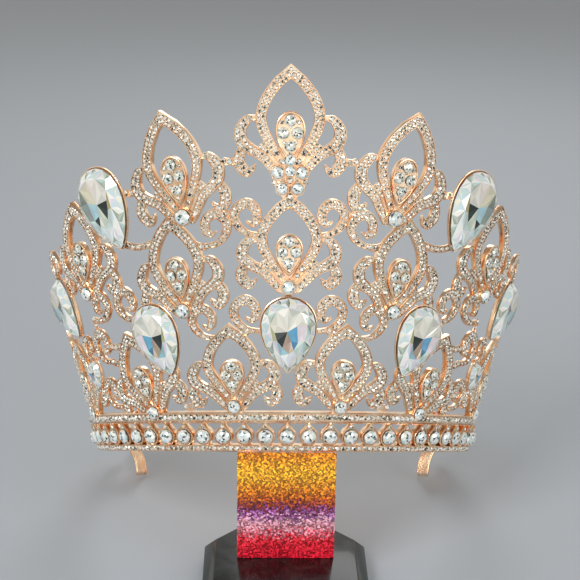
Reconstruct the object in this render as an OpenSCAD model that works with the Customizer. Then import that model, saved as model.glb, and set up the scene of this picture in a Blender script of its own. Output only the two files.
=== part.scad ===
/* [Crown wall] */
// Radius of the wall's front face at the lower edge
band_r = 70; // [64:1:78]
// Height of the middle motif's tip, along the slant of the wall
wall_h = 129; // [120:1:138]
// Outward lean of the wall, in degrees
flare = 17.4; // [14:0.2:20]
// Half of the angle that the band goes round
band_half_angle = 113; // [108:1:118]
// Front-to-back thickness of the cast metal
metal_t = 2.4; // [1.8:0.1:3]
// Widest width of a stone-set ribbon
ribbon_w = 3.6; // [3:0.1:4.2]

/* [Band] */
// Height of the lower rail
low_rail_h = 2.3; // [1.8:0.1:2.8]
// Height of the upper rail's lower edge
high_rail_s = 9.9; // [9:0.1:11]
// Height of the upper rail
high_rail_h = 3.8; // [3:0.1:4.4]
// Height of the band stones' centres
band_stone_s = 5.4; // [5:0.1:6]
// Diameter of a band stone
band_stone_d = 5; // [4:0.1:5.4]
// Angle from one band stone to the next
band_stone_pitch = 5.78; // [5.6:0.02:6.4]
// Band stones on each side of the middle one
band_stone_side_count = 16; // [12:1:18]

/* [Stones] */
// Length of a large drop stone
drop_l = 25; // [22:0.5:27]
// Width of a large drop stone
drop_w = 18; // [16:0.5:19]
// Length of the two top drop stones
top_drop_l = 29; // [25:0.5:30]
// Width of the two top drop stones
top_drop_w = 21; // [18:0.5:21.5]
// Length of the two small drop stones low on the sides
small_drop_l = 10; // [8:0.5:11]
// Width of the two small drop stones
small_drop_w = 8; // [6:0.5:9]
// Height of a large stone above its setting's floor
drop_h = 4.8; // [4:0.1:6]
// Diameter of the largest of the round stones at the motifs' feet
foot_stone_d = 5.4; // [4.6:0.1:6]
// Wall of the metal rim round a drop stone
rim_t = 0.8; // [0.6:0.1:1.2]
// Gap between a stone and its metal
stone_gap = 0.12; // [0.08:0.01:0.2]

/* [Combs] */
// Thickness of the comb wire
comb_wire_d = 1.3; // [1:0.1:1.6]
// Number of wire loops in a comb
comb_loops = 4; // [3:1:6]
// Distance from one comb loop to the next
comb_pitch = 3.4; // [3:0.1:4]
// How far the comb tips reach below the band
comb_drop = 9.2; // [6:0.1:9.2]

/* [Stand] */
// Lean of the crown on its stand, in degrees
crown_tilt = 28; // [24:0.5:30]
// Side of the square base, at the floor
base_side = 57; // [50:1:70]
// Thickness of the base
base_t = 9; // [7:0.5:12]
// Width of the slope round the top of the base
base_bevel = 4; // [2:0.5:6]
// Length of the base's cut corners, along each side
base_corner = 12; // [8:0.5:16]
// Width of the upright
upright_w = 33.5; // [28:0.5:40]
// Depth of the upright
upright_d = 12; // [10:0.5:16]
// Height of the upright's front face
upright_h = 41.5; // [36:0.5:48]
// Distance of the upright's front face behind the base's middle
upright_back = 2.6; // [0:0.1:6]
// Gap between the crown's band and the upright
seat_gap = 0.3; // [0.2:0.05:0.5]

/* [Hidden] */

// Heights of the faces in front of the wall's face, and of the backs behind it
loop_face = 0;
ear_face = -0.25;
curl_face = -0.5;
scroll_face = -0.35;
bar_face = -0.7;
inset_face = 0.5;
cup_face = 0.7;
rim_face = 0.4;
rail_face = 0.5;
// Floor of a drop stone's setting, in front of the setting's back
drop_seat = 1;
loop_back = -metal_t;
ear_back = -metal_t + 0.15;
curl_back = -metal_t + 0.3;
scroll_back = -metal_t + 0.45;
bar_back = -metal_t + 0.6;
bar_w = 2.6;

// Heights in the tables are shares of the way from the band's top edge to the tallest tip,
// widths are shares of the band's radius, and stones of the largest foot stone's
band_top = high_rail_s + high_rail_h;
rise = wall_h - band_top;
function up_wall(share) = band_top + share * rise;

// One row for each leaf motif: angle round the wall, height of its foot, lean to the
// outside, height and half width of its pointed loop, radius of the stone at its foot
ANGLE = 0;
FOOT = 1;
LEAN = 2;
TALL = 3;
HALF = 4;
STONE = 5;
function motif_sizes(m) = [
    m[ANGLE], up_wall(m[FOOT]), m[LEAN], m[TALL] * rise, m[HALF] * band_r,
    m[STONE] * foot_stone_d / 2
];
centre_motifs = [for (m = [
    [0, 0.732, 0, 0.268, 0.1657, 0.6296],
    [0, 0.405, 0, 0.2307, 0.1571, 0.8148]
]) motif_sizes(m)];
side_motifs = [for (m = [
    [22.1, 0.6175, 7.4, 0.2715, 0.1557, 1],
    [24.6, 0.3426, 3.7, 0.2394, 0.1471, 0.8889],
    [53, 0.4172, -5, 0.2446, 0.1614, 0.8889],
    [13.8, 0.0529, 1, 0.2064, 0.1457, 0.8148],
    [38.6, 0.0364, 15, 0.2168, 0.14, 0.8148],
    [70, 0.0416, 10, 0.2082, 0.1371, 0.8148]
]) motif_sizes(m)];

// Stones of the cluster under the tallest motif: across, height on the wall, radius
top_cluster = [for (c = [
    [0.0557, 0.6964, 0.7407],
    [0.0357, 0.6513, 0.7037]
]) [c[0] * band_r, up_wall(c[1]), c[2] * foot_stone_d / 2]];

// One row for each drop stone's setting: angle, height of its middle, lean, length, width
// The middle one hangs under the foot stone of the motif above it
under_foot = centre_motifs[1][FOOT] - foot_fall(centre_motifs[1]) - centre_motifs[1][STONE];
centre_drop_at = [0, under_foot - 1.4 - drop_l / 2, 0, drop_l, drop_w];
low_drop_at = [32.4, up_wall(0.2203), 17, drop_l, drop_w];
top_drop_at = [40.5, up_wall(0.6219), 18, top_drop_l, top_drop_w];
outer_drop_at = [67.2, up_wall(0.3443), 34, drop_l, drop_w];
side_drop_at = [59.5, up_wall(0.1284), 12, small_drop_l, small_drop_w];

// One row for each comma scroll: angle, height of its middle, turn, side that it opens to,
// width and height of the curve that its rows are shares of
TURN = 2;
OPENS = 3;
WIDE = 4;
HIGH = 5;
// Width share of a scroll whose ribbon has its full width
full_scroll = 0.15;
scrolls = [for (s = [
    [8.7, 0.5716, 0, 1, 0.1429, 0.0867],
    [9.8, 0.2931, 0, 1, 0.1429, 0.0867],
    [15.3, 0.5438, 0, -1, 0.1429, 0.0867],
    [20.2, 0.2715, 0, 1, 0.1371, 0.0833],
    [41, 0.3348, 10, 1, 0.1457, 0.0885],
    [50, 0.3322, -20, -1, 0.1343, 0.0815],
    [53.8, 0.2142, 0, 1, 0.1429, 0.0867],
    [78, 0.3495, 10, 1, 0.1286, 0.0781]
]) [s[ANGLE], up_wall(s[1]), s[TURN], s[OPENS], s[WIDE] * band_r, s[HIGH] * rise]];

// Half outlines as shares: across over the half width, up over the height, width over
// the ribbon's
loop_rows = [
    [-0.12, -0.09, 0.55],
    [-0.46, 0.11, 0.78],
    [-0.73, 0.28, 0.92],
    [-0.83, 0.46, 1.0],
    [-0.64, 0.66, 1.0],
    [-0.33, 0.82, 1.0]
];
loop_tip = [0, 0.915, 1.45];
ear_rows = [
    [-0.90, 0.44, 0.5],
    [-1.24, 0.42, 0.85],
    [-1.43, 0.28, 1.15],
    [-1.22, 0.135, 1.05],
    [-0.75, 0.02, 0.9],
    [-0.34, -0.17, 0.7]
];
curl_rows = [
    [-1.34, 0.13, 0.7],
    [-1.45, 0.02, 1.1],
    [-1.36, -0.09, 1.0],
    [-1.13, -0.12, 0.6],
    [-0.99, -0.045, 0.14]
];
scroll_rows = [
    [0.50, -0.64, 0.5],
    [-0.05, -0.53, 0.66],
    [-0.41, -0.08, 0.9],
    [-0.21, 0.36, 1.0],
    [0.24, 0.33, 1.0],
    [0.34, -0.11, 0.8],
    [0.0, -0.17, 0.2]
];

// Short solder bars between scrolls, settings and motifs: angle and height of one end,
// then how far the other end lies across and up. The two in the middle go down from the
// motifs' foot cups, and the two at each end of the band join its rails
ACROSS = 2;
UP = 3;
centre_drop_top = centre_drop_at[1] + drop_l / 2 + rim_t;
centre_bars = [
    [0, up_wall(0.6921), 0, -0.065 * rise],
    [0, up_wall(0.3625), 0, centre_drop_top - 1.5 - up_wall(0.3625)]
];
bars = [for (b = [
    [10.3, 0.7311, 0.06, 0],
    [11.4, 0.5802, 0.0429, 0],
    [9.6, 0.2368, 0.0286, 0],
    [25, 0.0165, 0.0486, 0],
    [31.8, 0.6618, 0.0714, 0],
    [29.8, 0.5091, 0.1857, 0.0035],
    [44.6, 0.2108, 0.1286, 0.0035],
    [72, 0.3495, 0.0771, 0]
]) [b[ANGLE], up_wall(b[1]), b[ACROSS] * band_r, b[UP] * rise]];
end_bars = [for (angle = [100.5, 111.6]) [angle, low_rail_h / 2, 0, high_rail_s]];

function wall_radius(height, out) = band_r + height * sin(flare) + out * cos(flare);

function wall_point(angle, height, out) =
    let (r = wall_radius(height, out))
    [r * sin(angle), -r * cos(angle), height * cos(flare) - out * sin(flare)];

function laid_point(place, lean, x, y, out) =
    let (
        across = x * cos(lean) + y * sin(lean),
        height = place[1] - x * sin(lean) + y * cos(lean),
        angle = place[0] + across / wall_radius(height, 0) * 180 / PI
    )
    wall_point(angle, height, out);

function edge_normal(path, i) =
    let (
        ahead = path[min(i + 1, len(path) - 1)],
        behind = path[max(i - 1, 0)],
        run = [ahead[0] - behind[0], ahead[1] - behind[1]]
    )
    [-run[1], run[0]] / norm(run);

function drop_outline(length, width, n = 12) = [
    for (i = [0 : n - 1])
        let (t = 360 * i / n)
        [width / 2 / 0.841 * sin(t) * pow(sin(t / 2), 0.6), -length / 2 * cos(t)]
];

function ribbon_path(rows, half, tall, side) = [
    for (row = rows) [side * row[0] * half, row[1] * tall, row[2] * ribbon_w]
];

// A flat-sided ribbon laid on the wall along a path of across, up and width
module ribbon(place, lean, path, face, back, flip = false) {
    corners = [
        for (i = [0 : len(path) - 1])
            let (
                n = edge_normal(path, i) * path[i][2] / 2,
                left = [path[i][0] + n[0], path[i][1] + n[1]],
                right = [path[i][0] - n[0], path[i][1] - n[1]]
            )
            each [
                laid_point(place, lean, left[0], left[1], face),
                laid_point(place, lean, right[0], right[1], face),
                laid_point(place, lean, right[0], right[1], back),
                laid_point(place, lean, left[0], left[1], back)
            ]
    ];
    last = 4 * (len(path) - 1);
    sides = [
        for (i = [0 : len(path) - 2])
            for (e = [0 : 3])
                let (
                    a = 4 * i + e,
                    b = 4 * i + 4 + e,
                    c = 4 * i + 4 + (e + 1) % 4,
                    d = 4 * i + (e + 1) % 4
                )
                each [[a, b, c], [a, c, d]]
    ];
    ends = [[0, 1, 2], [0, 2, 3], [last + 2, last + 1, last], [last + 3, last + 2, last]];
    polyhedron(points = corners, faces = concat(sides, ends), convexity = 6);
}

// Puts a flat piece on the wall, its face outwards and its top up the wall
module on_wall(angle, height, lean = 0, out = 0) {
    translate(wall_point(angle, height, out))
        rotate([90 + flare, 0, angle])
            rotate([0, 0, -lean])
                children();
}

module both_sides() {
    children();
    mirror([1, 0, 0])
        children();
}

module pointed_loop(m) {
    half_path = ribbon_path(loop_rows, m[HALF], m[TALL], 1);
    other_path = ribbon_path(loop_rows, m[HALF], m[TALL], -1);
    tip = ribbon_path([loop_tip], m[HALF], m[TALL], 1);
    count = len(half_path);
    whole = concat(half_path, tip, [for (i = [count - 1 : -1 : 0]) other_path[i]]);
    ribbon(m, m[LEAN], whole, loop_face, loop_back);
}

module inset_plate(m) {
    on_wall(m[ANGLE], m[FOOT], m[LEAN], -metal_t + 0.5)
        translate([0, m[TALL] * 0.195, 0])
            linear_extrude(metal_t + inset_face - 0.5)
                polygon(drop_outline(m[TALL] * 0.67, m[HALF] * 0.76, 8));
}

module foot_cup(angle, height, r) {
    on_wall(angle, height, 0, -metal_t + 0.3)
        hull()
            cylinder(r1 = r * 0.8, r2 = r + 0.45, h = metal_t + cup_face - 0.3, $fn = 8);
}

module leaf_motif(m) {
    pointed_loop(m);
    for (side = [1, -1]) {
        ribbon(m, m[LEAN], ribbon_path(ear_rows, m[HALF], m[TALL], side), ear_face, ear_back);
        ribbon(m, m[LEAN], ribbon_path(curl_rows, m[HALF], m[TALL], side), curl_face, curl_back);
    }
    inset_plate(m);
    foot_cup(m[ANGLE] - foot_slide(m), m[FOOT] - foot_fall(m), m[STONE]);
}

// How far below its motif a foot stone lies, and how far the lean carries it inwards
function foot_fall(m) = m[STONE] + 1.9;
function foot_slide(m) = foot_fall(m) * tan(m[LEAN]) / wall_radius(m[FOOT], 0) * 180 / PI;

module comma_scroll(s) {
    path = [
        for (row = scroll_rows)
            [-s[OPENS] * row[0] * s[WIDE], row[1] * s[HIGH], row[2] * ribbon_w * s[WIDE] / full_scroll / band_r]
    ];
    ribbon(s, s[TURN], path, scroll_face, scroll_back);
}

module solder_bar(b) {
    ribbon(b, 0, [[0, 0, bar_w], [b[ACROSS], b[UP], bar_w]], bar_face, bar_back);
}

module drop_setting(at) {
    on_wall(at[0], at[1], at[2], -metal_t + 0.2)
        linear_extrude(metal_t + rim_face - 0.2)
            polygon(drop_outline(at[3] + 2 * rim_t, at[4] + 2 * rim_t));
}

module drop_room(at) {
    on_wall(at[0], at[1], at[2], -metal_t + 0.2 + drop_seat)
        linear_extrude(metal_t + 2)
            polygon(drop_outline(at[3] + 2 * stone_gap, at[4] + 2 * stone_gap));
}

// A cut stone: one outline at three heights, as shares of the outline and of the height
cut_levels = [
    [0.80, 0],
    [1.00, 0.42],
    [0.55, 1]
];

module cut_stone(outline, tall) {
    n = len(outline);
    corners = [
        for (level = cut_levels)
            for (p = outline)
                [p[0] * level[0], p[1] * level[0], tall * level[1]]
    ];
    walls = [
        for (level = [0, 1])
            for (i = [0 : n - 1])
                let (
                    a = n * level + i,
                    b = n * level + (i + 1) % n
                )
                each [[a, a + n, b + n], [a, b + n, b]]
    ];
    polyhedron(
        points = corners,
        faces = concat(
            walls,
            [[for (i = [0 : n - 1]) i]],
            [[for (i = [n - 1 : -1 : 0]) 2 * n + i]]
        )
    );
}

module drop_stone(at) {
    color("aliceblue")
        on_wall(at[0], at[1], at[2], -metal_t + 0.2 + drop_seat + stone_gap)
            cut_stone(drop_outline(at[3], at[4]), drop_h * min(1, 0.5 + at[3] / 50));
}

module rail(low, tall, face) {
    rotate([0, 0, -90 - band_half_angle])
        rotate_extrude(angle = 2 * band_half_angle, $fn = 50)
            polygon([
                for (corner = [[low, -metal_t], [low, face], [low + tall, face], [low + tall, -metal_t]])
                    [
                        wall_radius(corner[0], corner[1]),
                        corner[0] * cos(flare) - corner[1] * sin(flare)
                    ]
            ]);
}

module band_setting(angle) {
    on_wall(angle, band_stone_s, 0, -metal_t + 0.25)
        linear_extrude(metal_t + cup_face - 0.25)
            polygon(band_setting_outline);
}

band_setting_r = band_stone_d / 2 + 0.9;
band_setting_outline = concat(
    [for (a = [150 : 60 : 390]) [band_setting_r * cos(a), band_setting_r * sin(a)]],
    [[0, high_rail_s + 0.8 - band_stone_s]]
);
band_stone_angles = [
    for (i = [-band_stone_side_count : band_stone_side_count]) i * band_stone_pitch
];

side_drops = [low_drop_at, top_drop_at, outer_drop_at, side_drop_at];

module crown_wall() {
    difference() {
        metalwork();
        drop_room(centre_drop_at);
        both_sides()
            for (at = side_drops)
                drop_room(at);
    }
}

module metalwork() {
    rail(0, low_rail_h, rail_face);
    rail(high_rail_s, high_rail_h, rail_face - 0.1);
    for (angle = band_stone_angles)
        band_setting(angle);
    for (m = centre_motifs)
        leaf_motif(m);
    for (b = centre_bars)
        solder_bar(b);
    drop_setting(centre_drop_at);
    both_sides() {
        for (m = side_motifs)
            leaf_motif(m);
        for (s = scrolls)
            comma_scroll(s);
        for (b = concat(bars, end_bars))
            solder_bar(b);
        for (c = top_cluster)
            foot_cup(c[0] / wall_radius(c[1], 0) * 180 / PI, c[1], c[2]);
        for (at = side_drops)
            drop_setting(at);
    }
}

module round_stone(angle, height, r, tall) {
    on_wall(angle, height, 0, cup_face + stone_gap)
        hull() {
            cylinder(r1 = r * 0.92, r2 = r, h = tall * 0.35, $fn = 8);
            translate([0, 0, tall * 0.35])
                cylinder(r1 = r, r2 = r * 0.55, h = tall * 0.65, $fn = 8);
        }
}

// Puts the crown on its stand: the band's lower front edge on the upright, leaning back
module leant_back() {
    translate([0, upright_back, base_t + upright_h + seat_gap])
        rotate([-crown_tilt, 0, 0])
            translate([0, band_r + 0.8, 0])
                children();
}

module crown_frame() {
    color("#d9a58a")
        leant_back()
            crown_wall();
}

module centre_drop() {
    leant_back()
        drop_stone(centre_drop_at);
}

module side_pair_stone(at, side) {
    leant_back()
        mirror([side < 0 ? 1 : 0, 0, 0])
            drop_stone(at);
}

module band_stones() {
    color("aliceblue")
        leant_back()
            for (angle = band_stone_angles)
                round_stone(angle, band_stone_s, band_stone_d / 2, 1.5);
}

module foot_stones() {
    color("aliceblue")
        leant_back() {
            for (m = centre_motifs)
                round_stone(0, m[FOOT] - foot_fall(m), m[STONE], 1.7);
            both_sides() {
                for (m = side_motifs)
                    round_stone(m[ANGLE] - foot_slide(m), m[FOOT] - foot_fall(m), m[STONE], 1.7);
                for (c = top_cluster)
                    round_stone(c[0] / wall_radius(c[1], 0) * 180 / PI, c[1], c[2], 1.6);
            }
        }
}

// A bent wire comb: loops of wire side by side, from inside the band down to the tips
comb_top_z = 11;
comb_top_r = band_r + (comb_top_z - metal_t * sin(flare)) * tan(flare)
    - metal_t * cos(flare) - comb_wire_d / 2 - 0.3;
comb_tip_r = band_r - 12.5;
comb_angle = 104;
function comb_point(across, share) =
    let (
        r = comb_tip_r + (comb_top_r - comb_tip_r) * pow(1 - share, 2),
        angle = comb_angle + across / comb_top_r * 180 / PI
    )
    [r * sin(angle), -r * cos(angle), comb_top_z - (comb_top_z + comb_drop) * share];

comb_rows = [
    [-0.25, 0.04],
    [-0.25, 0.35],
    [-0.25, 0.7],
    [-0.25, 0.94],
    [-0.1, 1],
    [0.1, 1],
    [0.25, 0.94],
    [0.25, 0.7],
    [0.25, 0.35],
    [0.25, 0.04],
    [0.5, 0]
];
comb_route = [
    for (i = [0 : comb_loops - 1])
        for (row = comb_rows)
            if (i < comb_loops - 1 || row[0] < 0.3)
                comb_point((i - (comb_loops - 1) / 2 + row[0]) * comb_pitch, row[1])
];

function unit(v) = v / norm(v);

module wire(route, d, sides = 6) {
    rings = [
        for (i = [0 : len(route) - 1])
            let (
                run = unit(route[min(i + 1, len(route) - 1)] - route[max(i - 1, 0)]),
                radial = unit([route[i][0], route[i][1], 0]),
                u = unit(cross(run, radial)),
                v = cross(run, u)
            )
            for (k = [0 : sides - 1])
                route[i] + (u * cos(360 * k / sides) + v * sin(360 * k / sides)) * d / 2
    ];
    last = sides * (len(route) - 1);
    walls = [
        for (i = [0 : len(route) - 2])
            for (k = [0 : sides - 1])
                let (
                    a = sides * i + k,
                    b = sides * i + (k + 1) % sides
                )
                each [[a, b + sides, b], [a, a + sides, b + sides]]
    ];
    polyhedron(
        points = rings,
        faces = concat(
            walls,
            [[for (k = [0 : sides - 1]) k]],
            [[for (k = [sides - 1 : -1 : 0]) last + k]]
        ),
        convexity = 8
    );
}

module comb(side) {
    color("#d9a58a")
        leant_back()
            mirror([side < 0 ? 1 : 0, 0, 0])
                wire(comb_route, comb_wire_d);
}

function cut_square(side, corner) =
    let (h = side / 2)
    [
        [h, -h + corner], [h, h - corner], [h - corner, h], [-h + corner, h],
        [-h, h - corner], [-h, -h + corner], [-h + corner, -h], [h - corner, -h]
    ];

module stand_base() {
    color("#18181b") {
        linear_extrude(base_t - base_bevel)
            polygon(cut_square(base_side, base_corner));
        hull() {
            translate([0, 0, base_t - base_bevel])
                linear_extrude(0.01)
                    polygon(cut_square(base_side, base_corner));
            translate([0, 0, base_t - 0.01])
                linear_extrude(0.01)
                    polygon(cut_square(base_side - 2 * base_bevel, base_corner - base_bevel * 0.6));
        }
    }
}

module stand_upright() {
    fall = upright_d * tan(crown_tilt);
    color("#c9742e")
        translate([upright_w / 2, upright_back, base_t + 0.02])
            rotate([0, -90, 0])
                linear_extrude(upright_w)
                    polygon([
                        [0, 0], [upright_h - 0.02, 0],
                        [upright_h - 0.02 - fall, upright_d], [0, upright_d]
                    ]);
}

crown_frame();
centre_drop();
side_pair_stone(low_drop_at, -1);  // low_drop_left
side_pair_stone(low_drop_at, 1);  // low_drop_right
side_pair_stone(top_drop_at, -1);  // top_drop_left
side_pair_stone(top_drop_at, 1);  // top_drop_right
side_pair_stone(outer_drop_at, -1);  // outer_drop_left
side_pair_stone(outer_drop_at, 1);  // outer_drop_right
side_pair_stone(side_drop_at, -1);  // side_drop_left
side_pair_stone(side_drop_at, 1);  // side_drop_right
band_stones();
foot_stones();
comb(-1);  // comb_left
comb(1);  // comb_right
stand_upright();
stand_base();
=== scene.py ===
import math

import bmesh
import bpy
from mathutils import Matrix, Vector


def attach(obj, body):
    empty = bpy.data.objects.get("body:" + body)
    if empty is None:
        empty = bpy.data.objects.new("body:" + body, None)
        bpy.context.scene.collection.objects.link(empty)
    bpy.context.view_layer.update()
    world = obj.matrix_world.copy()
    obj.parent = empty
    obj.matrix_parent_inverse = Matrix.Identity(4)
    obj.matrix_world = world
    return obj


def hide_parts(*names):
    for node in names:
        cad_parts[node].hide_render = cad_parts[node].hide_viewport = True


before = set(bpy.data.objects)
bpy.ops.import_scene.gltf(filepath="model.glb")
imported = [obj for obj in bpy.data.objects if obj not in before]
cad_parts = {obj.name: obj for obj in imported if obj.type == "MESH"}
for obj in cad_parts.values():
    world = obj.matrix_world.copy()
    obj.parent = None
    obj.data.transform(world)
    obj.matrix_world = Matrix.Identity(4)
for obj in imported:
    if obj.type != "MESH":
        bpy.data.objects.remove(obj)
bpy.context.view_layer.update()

# The leaf motifs are cast zinc alloy: ribbons with two polished rims and a channel between
# them for the paved stones. Each has a pointed loop, two ears outside it, two curls below
# them, a raised drop-shaped plate inside and a cup at its foot.
MM = 0.001
BAND_R = 70.0
FLARE = math.radians(17.4)
METAL_T = 2.4
RIBBON_W = 3.6
LEAF_PLACES = [  # angle, height of the foot, lean, height, half width, foot stone's radius
    (0, 98.1, 0, 30.9, 11.6, 1.7),
    (0, 60.4, 0, 26.6, 11.0, 2.2),
    (22.1, 84.9, 7.4, 31.3, 10.9, 2.7),
    (24.6, 53.2, 3.7, 27.6, 10.3, 2.4),
    (53, 61.8, -5, 28.2, 11.3, 2.4),
    (13.8, 19.8, 1, 23.8, 10.2, 2.2),
    (38.6, 17.9, 15, 25, 9.8, 2.2),
    (70, 18.5, 10, 24, 9.6, 2.2),
]
# The right half of each ribbon: across, up and width, as shares of the motif's half width,
# its height and the ribbon's width
LOOP = [
    (0.12, -0.09, 0.55), (0.33, 0.04, 0.72), (0.585, 0.19, 0.85), (0.78, 0.34, 0.95),
    (0.82, 0.485, 1.0), (0.645, 0.657, 1.0), (0.33, 0.815, 1.0), (0, 0.915, 1.0),
]
EAR = [
    (0.90, 0.44, 0.45), (1.047, 0.437, 0.55), (1.245, 0.415, 0.88), (1.42, 0.30, 1.12),
    (1.345, 0.18, 1.1), (1.107, 0.11, 1.0), (0.798, 0.042, 0.92), (0.567, -0.055, 0.84),
    (0.37, -0.145, 0.74), (0.2, -0.222, 0.5),
]
CURL = [
    (1.34, 0.13, 0.8), (1.45, 0.02, 1.1), (1.41, -0.06, 1.08), (1.23, -0.13, 0.9),
    (1.07, -0.10, 0.55), (0.985, -0.045, 0.14),
]
# How far each face lies before or behind the wall's, and each back
LOOP_FACE, EAR_FACE, CURL_FACE = 0, -0.25, -0.5
LOOP_BACK, EAR_BACK, CURL_BACK = -METAL_T, -METAL_T + 0.15, -METAL_T + 0.3
TIP_MITRE = 1.4  # how much wider the loop is across the corner at its tip
# Rims and channel of a ribbon: side, how far in from its edge, and depth below its face or
# height above its back. Where it is thin, these shares of its width are the most.
RIBBON_SECTION = [
    (-1, 0.3, "back", 0), (-1, 0, "back", 0.3), (-1, 0, "face", 0.2), (-1, 0.12, "face", 0),
    (-1, 0.3, "face", 0), (-1, 0.4, "face", 0.38), (1, 0.4, "face", 0.38), (1, 0.3, "face", 0),
    (1, 0.12, "face", 0), (1, 0, "face", 0.2), (1, 0, "back", 0.3), (1, 0.3, "back", 0),
]
MOST_INWARD, MOST_DEPTH = 0.42, 0.2
# Ribbons from these widths on hold two fine rows or one row of paved stones. The rims take
# some of the width, and the stones sit a little below the face.
TWO_ROWS_W, ONE_ROW_W = 2.75, 1.4
TWO_ROWS_RIMS, TWO_ROWS_APART, ONE_ROW_RIMS = 0.72, 0.74, 0.66
LARGEST_PAVED_R, PAVED_DEPTH = 0.95, 0.32
# The raised plate as shares of the motif, and its rings from back to front: grown by, height
PLATE_LENGTH, PLATE_WIDTH, PLATE_MIDDLE, PLATE_CENTRE = 0.52, 0.84, 0.247, 0.1
# The power by which a drop's sides draw in to its tip, and their share at the widest
DRAWN_IN, WIDEST_OUT = 0.6, 0.841
PLATE_RINGS = [
    (-0.2, -METAL_T + 0.5), (0, -METAL_T + 0.8), (0, 0.3), (-0.12, 0.52), (-0.3, 0.6),
    (-0.5, 0.55), (-0.64, 0.2), (-2.2, 0.16),
]
# Stones that cover the plate: across, up, radius in the widest motif. Those over 1.5 are
# round-cut, the rest are paved between them.
PLATE_STONES = [
    (0, 0.413, 2.05), (0.2, 0.28, 2.05), (-0.2, 0.28, 2.05), (0, 0.143, 1.95),
    (0, 0.345, 0.55), (0.235, 0.392, 0.75), (-0.235, 0.392, 0.75), (0.17, 0.182, 0.72),
    (-0.17, 0.182, 0.72), (0, 0.06, 0.72),
]
WIDEST_LEAF, LEAST_ROUND_CUT, PLATE_SEAT = 11.6, 1.5, 0.3
# The cast web behind the legs, where loop, ears and plate grow together, and its stones
WEB = [
    (0, -0.16), (0.34, -0.16), (0.57, -0.06), (0.8, 0.03), (0.93, 0.09), (0.86, 0.16),
    (0.72, 0.2), (0.42, 0.13), (0.16, 0.11), (0, 0.06),
]
WEB_STONES = [
    (0.54, 0.055, 0.5), (0.64, 0.082, 0.66), (0.665, 0.13, 0.6), (0.75, 0.115, 0.68),
    (0.755, 0.165, 0.62), (0.85, 0.135, 0.62),
]
WEB_BACK, WEB_FACE, WEB_SEAT = -2.0, -0.75, -0.7
LOOP_STEPS, EAR_STEPS, PLATE_CORNERS, CUP_CORNERS = 5, 4, 28, 20
# A foot stone's cup, from back to front: share of the stone's radius, grown by, height
CUP_RINGS = [
    (0.8, 0, -METAL_T + 0.3), (1, 0.3, 0), (1, 0.42, 0.5), (1, 0.34, 0.74), (1, 0.16, 0.74),
    (1, 0.1, 0.45), (0.5, 0, 0.3),
]
CUP_OUTLINE = [(math.sin(2 * math.pi * i / CUP_CORNERS), math.cos(2 * math.pi * i / CUP_CORNERS))
               for i in range(CUP_CORNERS)]
FOOT_STONE_FALL, ROUND_STONE_SEAT = 1.9, 0.72

metal_points, metal_faces = [], []
fine_rows, single_rows, set_stones, plate_stones, foot_stones = [], [], [], [], []
# What is drawn is made at the right and at the left, but once where it stands in the middle
BOTH, MIDDLE = (1, -1), (1,)
sides = BOTH


def wall_radius(height):
    return BAND_R + height * math.sin(FLARE)


def laid(place, lean, x, y, out):
    """A point of the openwork as drawn flat, in millimetres: along the band, up the slant and
    out from the face. The place is an angle round the wall and a height up its slant."""
    turn = math.radians(lean)
    height = place[1] - x * math.sin(turn) + y * math.cos(turn)
    across = x * math.cos(turn) + y * math.sin(turn)
    return ((math.radians(place[0]) + across / wall_radius(height)) * BAND_R, height, out)


def smooth_path(rows, steps):
    """Passes a smooth curve through the rows of a table."""
    path = []
    for i in range(len(rows) - 1):
        a, b, c, d = rows[max(i - 1, 0)], rows[i], rows[i + 1], rows[min(i + 2, len(rows) - 1)]
        for k in range(steps):
            t = k / steps
            path.append(tuple(
                0.5 * (2 * q + (r - p) * t + (2 * p - 5 * q + 4 * r - s) * t * t
                       + (3 * q - p - 3 * r + s) * t ** 3)
                for p, q, r, s in zip(a, b, c, d)
            ))
    return path + [tuple(rows[-1])]


def keep_row(rows, row):
    """Keeps a row of places and radii for stones, on each side."""
    for side in sides:
        rows.append([((side * x, y, out), r) for (x, y, out), r in row])


def keep_stone(stones, place, r):
    x, y, out = place
    stones.extend(((side * x, y, out), r) for side in sides)


def tube_faces(start, rings, count):
    """Faces of a closed tube through rings of corners, with flat ends."""
    faces = []
    for i in range(rings - 1):
        for k in range(count):
            a, b = start + i * count + k, start + i * count + (k + 1) % count
            faces.append((a, b, b + count, a + count))
    faces.append(tuple(range(start + count - 1, start - 1, -1)))
    faces.append(tuple(start + (rings - 1) * count + k for k in range(count)))
    return faces


def skin(rings):
    """Joins rings of flat points into a closed piece of metal, on each side."""
    for side in sides:
        metal_faces.extend(tube_faces(len(metal_points), len(rings), len(rings[0])))
        for ring in rings:
            metal_points.extend((side * x, y, out) for x, y, out in ring)


def path_normals(path):
    normals = []
    for i in range(len(path)):
        a, b = path[max(i - 1, 0)], path[min(i + 1, len(path) - 1)]
        run = Vector((b[0] - a[0], b[1] - a[1])).normalized()
        normals.append(Vector((-run.y, run.x)))
    return normals


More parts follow.
